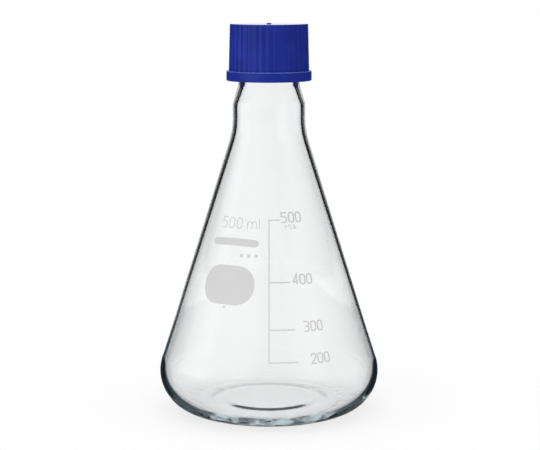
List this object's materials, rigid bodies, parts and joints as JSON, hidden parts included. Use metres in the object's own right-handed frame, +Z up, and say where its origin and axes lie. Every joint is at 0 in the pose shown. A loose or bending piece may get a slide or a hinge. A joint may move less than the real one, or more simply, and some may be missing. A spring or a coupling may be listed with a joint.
{
  "type": "screw-cap conical flask",
  "caption": "Clear glass conical flask with a narrow neck, a ribbed blue screw cap, a volume scale and a writing patch.",
  "frame": {"origin": "centre of the ring that the flask stands on", "axes": "+Z up the axis of the neck; -Y towards the side that carries the volume scale; +X to the right of the scale"},
  "size_m": [0.105, 0.105, 0.1851],
  "materials": {
    "glass": "clear fire-polished borosilicate glass",
    "cap_plastic": "moulded polypropylene, satin, royal blue",
    "silicone": "soft white silicone",
    "liner_film": "thin smooth fluoropolymer film",
    "enamel": "fired pale grey enamel, half matt"
  },
  "bodies": {
    "flask": {"flask_body": "glass", "graduation_scale": "enamel", "graduation_figures": "enamel", "capacity_mark": "enamel", "maker_bar": "enamel", "writing_patch": "enamel"},
    "liner": {"liner_facing": "liner_film", "liner_pad": "silicone"},
    "cap": {"screw_cap": "cap_plastic"}
  },
  "joints": [
    {"name": "cap_rise", "type": "slide", "parent": "flask", "child": "liner", "axis": [0, 0, 1], "range_m": [0, 0.0321]},
    {"name": "cap_turn", "type": "hinge", "parent": "liner", "child": "cap", "pos_m": [0, 0, 0.171], "axis": [0, 0, 1], "range_deg": [0, 2880]}
  ],
  "couplings": [
    {"joint": "cap_rise", "follows": "cap_turn", "m_per_rad": 0.00063662}
  ]
}
